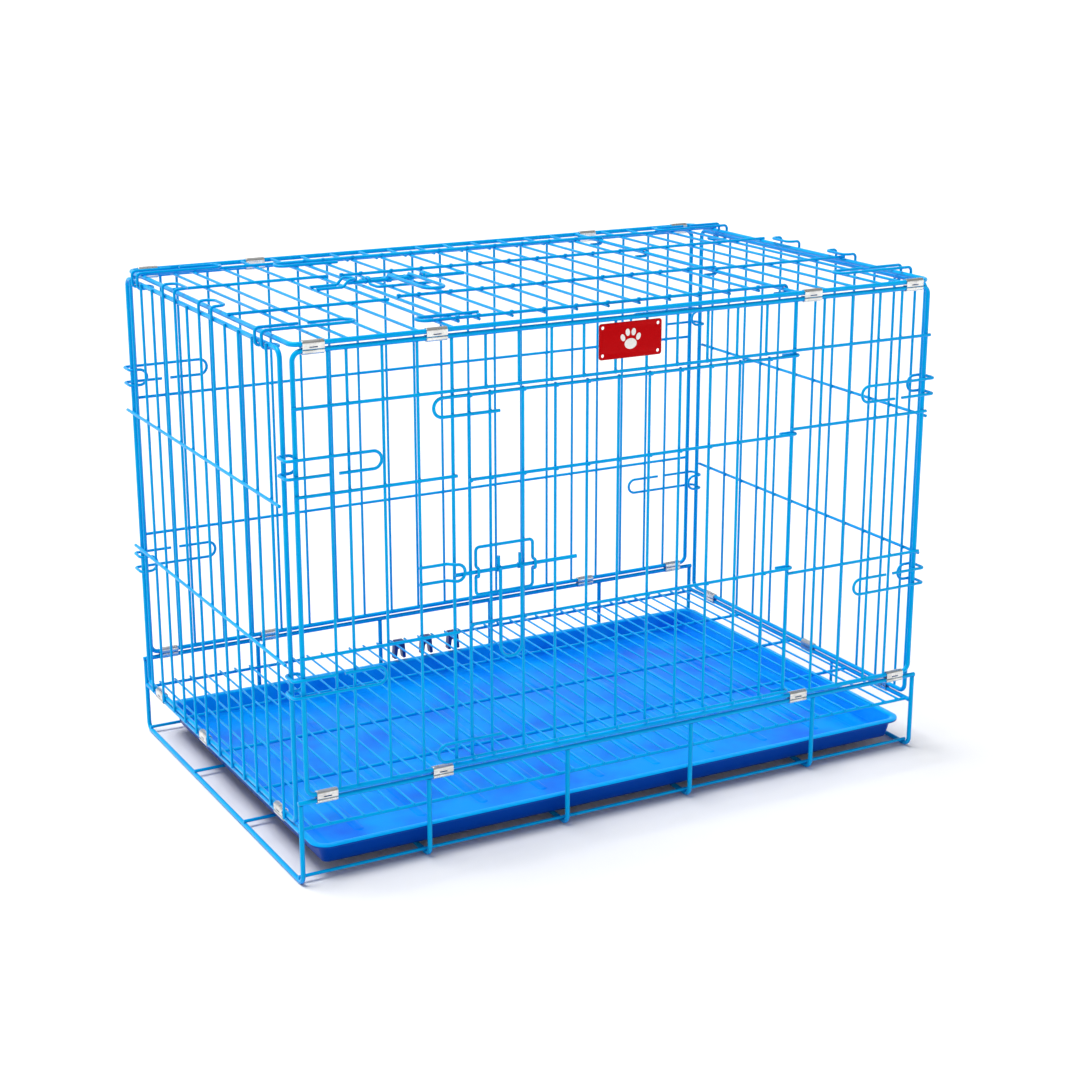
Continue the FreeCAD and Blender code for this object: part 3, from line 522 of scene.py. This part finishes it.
def piece(name, mesh, finish, body, stands_for=()):
    """Puts a mesh in the scene as a piece that rides on a body."""
    if not mesh.polygons:
        raise RuntimeError("%s came out empty" % name)
    made = bpy.data.objects.new(name, mesh)
    bpy.context.scene.collection.objects.link(made)
    mesh.materials.clear()
    mesh.materials.append(finish)
    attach(made, body)
    if stands_for:
        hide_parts(*stands_for)
    return made


def finished(shape, name):
    """A smooth mesh from a bmesh, with its normals made good."""
    bmesh.ops.recalc_face_normals(shape, faces=shape.faces)
    mesh = bpy.data.meshes.new(name)
    shape.to_mesh(mesh)
    shape.free()
    mesh.shade_smooth()
    return mesh


def apply_all(made, *modifiers):
    """Adds modifiers, each a kind with its settings, and makes their result the object's mesh."""
    for kind, settings in modifiers:
        modifier = made.modifiers.new(kind.title(), kind)
        for name, setting in settings.items():
            setattr(modifier, name, setting)
    ready = made.evaluated_get(bpy.context.evaluated_depsgraph_get())
    mesh = bpy.data.meshes.new_from_object(ready)
    made.modifiers.clear()
    old = made.data
    made.data = mesh
    if not old.users:
        bpy.data.meshes.remove(old)
    return made


def join_rings(shape, rings):
    """Faces between rings of points that follow each other."""
    rows = [[shape.verts.new(point) for point in ring] for ring in rings]
    count = len(rows[0])
    for row, following in zip(rows, rows[1:]):
        for k in range(count):
            n = (k + 1) % count
            shape.faces.new((row[k], row[n], following[n], following[k]))
    return rows


def boxes_of_wires(node):
    """The lowest and highest corner of every separate wire in a node."""
    if node in WIRE_BOXES:
        return WIRE_BOXES[node]
    mesh = frame["nodes"][node].data
    keys = [tuple(round(c * 1e5) for c in vertex.co) for vertex in mesh.vertices]
    leader = {key: key for key in keys}

    def lead(key):
        """The point that stands for all points joined to this one."""
        while leader[key] != key:
            leader[key] = leader[leader[key]]
            key = leader[key]
        return key

    for edge in mesh.edges:
        first, second = (lead(keys[end]) for end in edge.vertices)
        leader[first] = second
    groups = {}
    for key, vertex in zip(keys, mesh.vertices):
        groups.setdefault(lead(key), []).append(vertex.co)
    boxes = [(Vector(min(p[k] for p in points) for k in range(3)),
              Vector(max(p[k] for p in points) for k in range(3))) for points in groups.values()]
    WIRE_BOXES[node] = sorted(boxes, key=lambda box: tuple(box[0]))
    return WIRE_BOXES[node]


def long_axis(box):
    """The axis along which a wire's box is longest."""
    sizes = box[1] - box[0]
    return max(range(3), key=lambda k: sizes[k])


# ---------------------------------------------------------------- coats

class CRATE_OT_coats(bpy.types.Operator):
    """Coat every wire of the crate with blue powder"""

    bl_idname = "crate.coats"
    bl_label = "Coat the wires"

    def execute(self, context):
        coat = existing("powder_coat", powder_coat)
        coated = 0
        for made in frame["nodes"].values():
            slots = [slot for slot in made.material_slots if slot.material]
            for slot in slots:
                if slot.material.name.startswith("coated_wire"):
                    slot.material = coat
                    coated += 1
        if not coated:
            raise RuntimeError("no wire was found to coat")
        return {"FINISHED"}


class Beads:
    """Many small ellipsoids gathered into one mesh."""

    def __init__(self, around, upward):
        shape = bmesh.new()
        bmesh.ops.create_uvsphere(shape, u_segments=around, v_segments=upward, radius=1.0)
        shape.verts.index_update()
        self.round = [vertex.co.copy() for vertex in shape.verts]
        # The ball's faces come in another order each run, so they are sorted
        self.skin = sorted([vertex.index for vertex in face.verts] for face in shape.faces)
        shape.free()
        self.points = []
        self.faces = []

    def add(self, centre, reach):
        """One ellipsoid with its half sizes along the three axes."""
        start = len(self.points)
        self.points += [[centre[k] + point[k] * reach[k] for k in range(3)] for point in self.round]
        self.faces += [[start + corner for corner in face] for face in self.skin]

    def mesh(self, name):
        """One mesh of all the ellipsoids."""
        if not self.faces:
            raise RuntimeError("%s came out empty" % name)
        mesh = bpy.data.meshes.new(name)
        mesh.from_pydata(self.points, [], self.faces)
        mesh.shade_smooth()
        return mesh


class CRATE_OT_welds(bpy.types.Operator):
    """Add the small coated fillets where wires are spot-welded across each other"""

    bl_idname = "crate.welds"
    bl_label = "Weld the crossings"

    def execute(self, context):
        coat = existing("powder_coat", powder_coat)
        spread = context.scene.crate_sizes.weld_spread
        for cross_node, upright_node in WELDED:
            beads = Beads(12, 8)
            for cross in boxes_of_wires(cross_node):
                for upright in boxes_of_wires(upright_node):
                    weld(beads, cross, upright, spread)
            body = frame["nodes"][upright_node]["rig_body"]
            name = upright_node.replace("_wires", "_welds")
            piece(name, beads.mesh(name), coat, body)
        return {"FINISHED"}


def weld(beads, cross, upright, spread):
    """A flattened bead round the touching point of two wires, if they do cross."""
    run_a, run_b = long_axis(cross), long_axis(upright)
    sizes_a, sizes_b = cross[1] - cross[0], upright[1] - upright[0]
    depth = 3 - run_a - run_b
    if run_a == run_b or sizes_a[run_a] < SHORTEST_RUN or sizes_a[run_b] > THICKEST_WIRE:
        return
    middle_a, middle_b = (cross[0] + cross[1]) / 2.0, (upright[0] + upright[1]) / 2.0
    over_a = cross[0][run_a] <= middle_b[run_a] <= cross[1][run_a]
    over_b = upright[0][run_b] <= middle_a[run_b] <= upright[1][run_b]
    if not (over_a and over_b):
        return
    toward = 1.0 if middle_b[depth] > middle_a[depth] else -1.0
    centre = Vector()
    centre[run_a] = middle_b[run_a]
    centre[run_b] = middle_a[run_b]
    centre[depth] = middle_a[depth] + toward * sizes_a[depth] / 2.0
    reach = Vector()
    reach[run_a] = sizes_b[run_a] / 2.0 + spread
    reach[run_b] = sizes_a[run_b] / 2.0 + spread
    reach[depth] = WELD_HALF_DEPTH
    beads.add(centre, reach)


class CRATE_OT_wire_ends(bpy.types.Operator):
    """Round the open ends of the wires with their coat"""

    bl_idname = "crate.wire_ends"
    bl_label = "Round the wire ends"

    def execute(self, context):
        coat = existing("powder_coat", powder_coat)
        for node in OPEN_ENDED:
            beads = Beads(16, 8)
            for box in boxes_of_wires(node):
                round_ends(beads, box)
            body = frame["nodes"][node]["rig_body"]
            name = node + "_ends"
            piece(name, beads.mesh(name), coat, body)
        return {"FINISHED"}


def round_ends(beads, box):
    """A shallow dome on both ends of a straight wire."""
    low, high = box
    run = long_axis(box)
    radius = min(high[k] - low[k] for k in range(3) if k != run) / 2.0
    if high[run] - low[run] < SHORTEST_RUN:
        return
    for end, outward in ((low, -1.0), (high, 1.0)):
        centre = (low + high) / 2.0
        centre[run] = end[run] - outward * DOME_SINK
        reach = [radius * 0.995] * 3
        reach[run] = DOME_REACH
        beads.add(centre, reach)


# ---------------------------------------------------------------- tray

class CRATE_OT_tray(bpy.types.Operator):
    """Mould the pull-out tray with its rolled rim, soft corners and ribbed bottom"""

    bl_idname = "crate.tray"
    bl_label = "Mould the tray"

    def execute(self, context):
        sizes = context.scene.crate_sizes
        low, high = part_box("tray")
        shape = bmesh.new()
        rings = [rounded_outline(low, high, inset, low.z + rise, sizes.tray_corner)
                 for inset, rise in tray_profile(high.z - low.z, sizes)]
        rows = join_rings(shape, rings)
        shape.faces.new(rows[0])
        shape.faces.new(rows[-1])
        tray_ribs(shape, low, high, sizes)
        mesh = finished(shape, "tray_shell")
        made = piece("tray_shell", mesh, existing("tray_plastic", tray_plastic), "tray_body",
                     ("tray",))
        made.data.set_sharp_from_angle(angle=math.radians(40.0))
        return {"FINISHED"}


def tray_profile(depth, sizes):
    """Insets and heights from the middle of the underside, over the rim, to the inner bottom."""
    sheet = sizes.tray_sheet
    rim = sizes.tray_rim
    foot = rim + TRAY_WALL_LEAN
    under = depth - sheet
    inner = foot + sheet
    profile = moved(TRAY_UNDERSIDE, foot, 0.0)
    for step in range(1, 6):
        turn = math.radians(15.0 * step)
        profile.append((foot + TRAY_FOOT_BEND * (1.0 - math.sin(turn)),
                        TRAY_FOOT_BEND * (1.0 - math.cos(turn))))
    profile.append((foot - 0.0001, TRAY_WALL_START))
    profile += moved(TRAY_RIM_BELOW, rim, under)
    profile += moved(TRAY_LIP, 0.0, under)
    profile += moved(TRAY_EDGE, 0.0, depth)
    profile += moved(TRAY_RIM_ABOVE, rim, depth)
    profile += moved((TRAY_INNER_FOOT,), inner, sheet)
    for step in range(7):
        turn = math.radians(15.0 * step)
        profile.append((inner + TRAY_INNER_BEND * (1.0 - math.cos(turn)),
                        sheet + TRAY_INNER_BEND * (1.0 - math.sin(turn))))
    return profile + moved(TRAY_BOTTOM_STEP, inner, sheet)


def moved(rows, inset, height):
    """A table of insets and heights, counted from another place."""
    return [(inset + row[0], height + row[1]) for row in rows]


def rounded_outline(low, high, inset, z, corner):
    """Points round a rectangle with rounded corners, inset from the tray's rim."""
    radius = max(corner - inset, TRAY_LEAST_CORNER)
    points = []
    corners = ((high.x, high.y, 0.0), (low.x, high.y, 90.0), (low.x, low.y, 180.0), (high.x, low.y, 270.0))
    for x, y, start in corners:
        centre_x = x - math.copysign(inset + radius, x - (low.x + high.x) / 2.0)
        centre_y = y - math.copysign(inset + radius, y - (low.y + high.y) / 2.0)
        for step in range(13):
            turn = math.radians(start + 7.5 * step)
            points.append(Vector((centre_x + radius * math.cos(turn),
                                  centre_y + radius * math.sin(turn), z)))
    return points


def tray_ribs(shape, low, high, sizes):
    """Low rounded ribs that stiffen the bottom, laid from front to back."""
    level = low.z + sizes.tray_sheet + TRAY_BOTTOM_STEP[-1][1] - RIB_SINK
    span = high.x - low.x - 2.0 * RIB_ROW_INSET
    for k in range(RIB_COUNT):
        x = (low.x + high.x) / 2.0 + span * (k / (RIB_COUNT - 1) - 0.5)
        low_bar(shape, x, low.y + RIB_END_INSET, high.y - RIB_END_INSET, level, sizes.tray_rib)


def low_bar(shape, x, front, back, level, rise):
    """A long low dome with round ends, running along Y."""
    ends = ((back - RIB_HALF_WIDTH, 0.0), (front + RIB_HALF_WIDTH, 180.0))
    rings = []
    for inset, share in RIB_SECTION:
        half = RIB_HALF_WIDTH - inset
        ring = []
        for centre, start in ends:
            for step in range(9):
                turn = math.radians(start + 22.5 * step)
                ring.append(Vector((x + half * math.cos(turn), centre + half * math.sin(turn),
                                    level + rise * share)))
        rings.append(ring)
    rows = join_rings(shape, rings)
    shape.faces.new(rows[-1])
    shape.faces.new(rows[0])


# ---------------------------------------------------------------- hinge clips

class CRATE_OT_hinge_clips(bpy.types.Operator):
    """Roll the sheet-metal hinge clips round their two rods, each with its slot"""

    bl_idname = "crate.hinge_clips"
    bl_label = "Roll the hinge clips"

    def execute(self, context):
        sizes = context.scene.crate_sizes
        plate = existing("nickel_plate", nickel_plate)
        for node, body in STRAP_NODES.items():
            shape = bmesh.new()
            for low, high in boxes_of_wires(node):
                strap(shape, low, high, outward_of(node), sizes)
            name = node.replace("_clips", "_straps")
            made = piece(name, finished(shape, name), plate, body, (node,))
            apply_all(made, ("SOLIDIFY", {"thickness": sizes.strap_sheet, "offset": 0.0,
                                          "use_even_offset": True}),
                      ("BEVEL", {"width": 0.00016, "segments": 2, "limit_method": "ANGLE",
                                 "angle_limit": math.radians(50.0)}))
            made.data.set_sharp_from_angle(angle=math.radians(35.0))
        return {"FINISHED"}


def outward_of(node):
    """The direction in which a row of clips faces, away from the crate."""
    for word, direction in (("front", (0.0, -1.0)), ("back", (0.0, 1.0)),
                            ("left", (-1.0, 0.0)), ("right", (1.0, 0.0))):
        if word in node.split("_"):
            return Vector((direction[0], direction[1], 0.0))
    raise RuntimeError("%s faces nowhere" % node)


def strap(shape, low, high, outward, sizes):
    """One clip: a sheet that goes round both rods, with a slot and a crease, and closes on the inside."""
    centre = (low + high) / 2.0
    along = Vector((-outward.y, outward.x, 0.0))
    half_width = abs((high - low).dot(along)) / 2.0
    radius = abs((high - low).dot(outward)) / 2.0 - sizes.strap_sheet / 2.0
    rods = (high.z - low.z) / 2.0 - radius - sizes.strap_sheet / 2.0
    slot_foot = rods - SLOT_DROP
    flat = radius - sizes.strap_dip
    crease = radius - sizes.strap_crease
    section = [(-radius, -STRAP_SEAM), (-radius, -rods)]
    for step in range(1, 13):
        turn = math.radians(180.0 - 15.0 * step)
        section.append((radius * math.cos(turn), -rods - radius * math.sin(turn)))
    section += [(crease, -rods + CREASE_FOOT), (crease, -rods + CREASE_FACE), (flat, -rods + FLAT_FOOT)]
    slot_row = len(section)
    section += [(flat, slot_foot), (flat, slot_foot + SLOT_HEIGHT), (flat, rods - FLAT_TOP)]
    for step in range(13):
        turn = math.radians(15.0 * step)
        section.append((radius * math.cos(turn), rods + radius * math.sin(turn)))
    section.append((-radius, STRAP_SEAM))
    half_slot = sizes.strap_slot / 2.0
    places = [-half_width, -half_width + STRAP_EDGE, -half_slot - SLOT_SIDE, -half_slot,
              half_slot, half_slot + SLOT_SIDE, half_width - STRAP_EDGE, half_width]
    rows = [[shape.verts.new(centre + along * u + outward * w + Vector((0.0, 0.0, h)))
             for u in places] for w, h in section]
    for k, (row, following) in enumerate(zip(rows, rows[1:])):
        for u in range(len(places) - 1):
            in_slot = k == slot_row and places[u] == -half_slot
            if not in_slot:
                shape.faces.new((row[u], row[u + 1], following[u + 1], following[u]))


# ---------------------------------------------------------------- name plate

class CRATE_OT_name_plate(bpy.types.Operator):
    """Enamel the name plate and its plain paw mark"""

    bl_idname = "crate.name_plate"
    bl_label = "Enamel the name plate"

    def execute(self, context):
        sizes = context.scene.crate_sizes
        low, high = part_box("name_plate")
        wide, tall, thick = high.x - low.x, high.z - low.z, high.y - low.y
        outlines = [rounded_rectangle(wide / 2.0 - PLATE_EDGE, tall / 2.0 - PLATE_EDGE,
                                      sizes.plate_corner)]
        outlines += [ellipse(x, z, PLATE_HOLE, PLATE_HOLE, 0.0, 20) for x, z in PLATE_HOLES]
        plate = flat_shape("plate_sheet", outlines, thick / 2.0 - PLATE_EDGE, PLATE_EDGE)
        made = stand_up(plate, (low + high) / 2.0)
        piece("plate_enamel", made, existing("red_enamel", red_enamel), "front_wall",
              ("name_plate",))

        pads = [ellipse(*PAW_PAD_PLACE, *PAW_PAD, 0.0, 32)]
        pads += [ellipse(x, z, *PAW_TOE, math.radians(lean), 24) for x, z, lean in PAW_TOES]
        mark = flat_shape("mark_sheet", pads, MARK_HALF_THICK, MARK_EDGE)
        front = Vector(((low.x + high.x) / 2.0, low.y - MARK_LIFT, (low.z + high.z) / 2.0))
        piece("plate_paw", stand_up(mark, front), existing("white_enamel", white_enamel), "front_wall")
        return {"FINISHED"}


def rounded_rectangle(half_wide, half_tall, radius, steps=8):
    """Points round a rectangle with rounded corners."""
    points = []
    for x, y, start in ((1, 1, 0.0), (-1, 1, 90.0), (-1, -1, 180.0), (1, -1, 270.0)):
        for step in range(steps + 1):
            turn = math.radians(start + 90.0 * step / steps)
            points.append((x * (half_wide - radius) + radius * math.cos(turn),
                           y * (half_tall - radius) + radius * math.sin(turn)))
    return points


def ellipse(x, y, half_wide, half_tall, lean, steps):
    """Points round an ellipse that leans to the left by an angle."""
    points = []
    for step in range(steps):
        turn = 2.0 * math.pi * step / steps
        u = half_wide * math.cos(turn)
        v = half_tall * math.sin(turn)
        points.append((x + u * math.cos(lean) - v * math.sin(lean),
                       y + u * math.sin(lean) + v * math.cos(lean)))
    return points


def flat_shape(name, outlines, half_thick, edge):
    """A flat plate with rounded edges from its outlines; outlines within others are holes."""
    curve = bpy.data.curves.new(name, "CURVE")
    curve.dimensions = "2D"
    curve.fill_mode = "BOTH"
    curve.extrude = half_thick
    curve.bevel_depth = edge
    curve.bevel_resolution = 2
    curve.offset = -edge
    for outline in outlines:
        spline = curve.splines.new("POLY")
        spline.points.add(len(outline) - 1)
        for point, (x, y) in zip(spline.points, outline):
            point.co = (x, y, 0.0, 1.0)
        spline.use_cyclic_u = True
    holder = bpy.data.objects.new(name, curve)
    bpy.context.scene.collection.objects.link(holder)
    bpy.context.view_layer.update()
    mesh = bpy.data.meshes.new_from_object(
        holder.evaluated_get(bpy.context.evaluated_depsgraph_get()))
    bpy.data.objects.remove(holder)
    bpy.data.curves.remove(curve)
    shape = bmesh.new()
    shape.from_mesh(mesh)
    bpy.data.meshes.remove(mesh)
    bmesh.ops.remove_doubles(shape, verts=shape.verts, dist=1e-6)
    return finished(shape, name)


def stand_up(mesh, centre):
    """Turns a flat mesh to face the front and puts its middle at centre."""
    for vertex in mesh.vertices:
        x, y, z = vertex.co
        vertex.co = centre + Vector((x, -z, y))
    mesh.set_sharp_from_angle(angle=math.radians(40.0))
    return mesh


# ---------------------------------------------------------------- floor clips

class CRATE_OT_floor_clips(bpy.types.Operator):
    """Mould the dark clips that hold the floor's rear wire"""

    bl_idname = "crate.floor_clips"
    bl_label = "Mould the floor clips"

    def execute(self, context):
        plastic = existing("clip_plastic", clip_plastic)
        shape = bmesh.new()
        for low, high in boxes_of_wires("floor_grid_clips"):
            floor_clip(shape, low, high)
        made = piece("floor_clips", finished(shape, "floor_clips"), plastic, "base",
                     ("floor_grid_clips",))
        apply_all(made, ("BEVEL", {"width": 0.0007, "segments": 3, "limit_method": "ANGLE",
                                   "angle_limit": math.radians(30.0)}))
        made.data.set_sharp_from_angle(angle=math.radians(45.0))
        return {"FINISHED"}


def floor_clip(shape, low, high):
    """A head that snaps over the wire and two legs that spread from it."""
    middle = (low.x + high.x) / 2.0
    half = (high.x - low.x) / 2.0
    head, shoulder, crotch, leg = 0.0062, 0.0068, 0.0026, 0.0036
    crown = high.z - 0.0004
    arm = high.z - 0.0080
    arch = high.z - 0.0096
    fork = high.z - 0.0112
    toe = low.z + 0.0006
    outline = [(-head, crown), (head, crown), (shoulder, arm), (half, toe), (half - leg, low.z),
               (crotch, fork), (0.0, arch), (-crotch, fork), (leg - half, low.z), (-half, toe),
               (-shoulder, arm)]
    rows = join_rings(shape, [[Vector((middle + x, y, z)) for x, z in outline]
                              for y in (low.y, high.y)])
    shape.faces.new(rows[0])
    shape.faces.new(rows[1])


# ---------------------------------------------------------------- studio

class CRATE_OT_studio(bpy.types.Operator):
    """Set the pale floor, the soft lights and the camera"""

    bl_idname = "crate.studio"
    bl_label = "Set the studio"

    def execute(self, context):
        studio = context.scene.crate_studio
        shape = bmesh.new()
        rings = [floor_ring(k / FLOOR_RINGS) for k in range(FLOOR_RINGS + 1)]
        shape.faces.new(join_rings(shape, rings)[0])
        floor = bpy.data.objects.new("studio_floor", finished(shape, "studio_floor"))
        context.scene.collection.objects.link(floor)
        floor.data.materials.append(existing("studio_paint", studio_paint))

        world = bpy.data.worlds.new("studio_surroundings")
        world.use_nodes = True
        surround = world.node_tree.nodes["Background"]
        surround.inputs["Color"].default_value = (1.0, 1.0, 1.0, 1.0)
        surround.inputs["Strength"].default_value = studio.daylight
        context.scene.world = world

        light = bpy.data.lights.new("overhead_lamp", "SUN")
        light.energy = studio.overhead
        light.angle = studio.spread
        lamp = bpy.data.objects.new("overhead_lamp", light)
        lamp.rotation_euler = studio.lamp_tilt
        context.scene.collection.objects.link(lamp)

        camera = bpy.data.objects.new("studio_camera", bpy.data.cameras.new("studio_camera"))
        camera.data.sensor_width = 36.0
        camera.data.lens = studio.lens
        camera.location = studio.stand
        camera.rotation_euler = (math.pi / 2.0 - studio.dip, 0.0, -studio.heading)
        context.scene.collection.objects.link(camera)
        context.scene.camera = camera
        context.scene.view_settings.view_transform = "Standard"
        return {"FINISHED"}


def floor_ring(share):
    """A ring of the studio floor, from the flat's border at 0 to the bowl's brim at 1."""
    radius = FLOOR_FLAT + FLOOR_CURVE * share
    height = CAD_BOX[0].z - FLOOR_DROP + FLOOR_RISE * share ** 2
    turns = [math.radians(degrees) for degrees in range(0, 360, 5)]
    return [Vector((radius * math.cos(turn), radius * math.sin(turn), height)) for turn in turns]


# ---------------------------------------------------------------- sidebar and start

class CRATE_PT_panel(bpy.types.Panel):
    """The crate's pieces, colours and sizes"""

    bl_idname = "CRATE_PT_panel"
    bl_label = "Wire Dog Crate"
    bl_space_type = "VIEW_3D"
    bl_region_type = "UI"
    bl_category = "Crate"

    def draw(self, context):
        column = self.layout.column()
        for operator in OPERATORS:
            column.operator(operator.bl_idname)
        for group in (context.scene.crate_colours, context.scene.crate_sizes,
                      context.scene.crate_studio):
            box = self.layout.box()
            for name in group.bl_rna.properties.keys():
                if name not in ("rna_type", "name"):
                    box.prop(group, name)


OPERATORS = (CRATE_OT_coats, CRATE_OT_welds, CRATE_OT_wire_ends, CRATE_OT_tray,
             CRATE_OT_hinge_clips, CRATE_OT_name_plate, CRATE_OT_floor_clips, CRATE_OT_studio)
GROUPS = {"crate_colours": CrateColours, "crate_sizes": CrateSizes, "crate_studio": CrateStudio}


def register():
    """Adds the crate's properties, the operators that make its pieces, and the panel."""
    for group in GROUPS.values():
        bpy.utils.register_class(group)
    for name, group in GROUPS.items():
        setattr(bpy.types.Scene, name, PointerProperty(type=group))
    for shown in OPERATORS + (CRATE_PT_panel,):
        bpy.utils.register_class(shown)


def unregister():
    """Takes away what register added."""
    for shown in reversed(OPERATORS + (CRATE_PT_panel,)):
        bpy.utils.unregister_class(shown)
    for name, group in GROUPS.items():
        delattr(bpy.types.Scene, name)
        bpy.utils.unregister_class(group)


def main():
    """Builds every piece."""
    register()
    bpy.ops.crate.coats()
    bpy.ops.crate.welds()
    bpy.ops.crate.wire_ends()
    bpy.ops.crate.tray()
    bpy.ops.crate.hinge_clips()
    bpy.ops.crate.name_plate()
    bpy.ops.crate.floor_clips()
    bpy.ops.crate.studio()


if __name__ == "__main__":
    main()
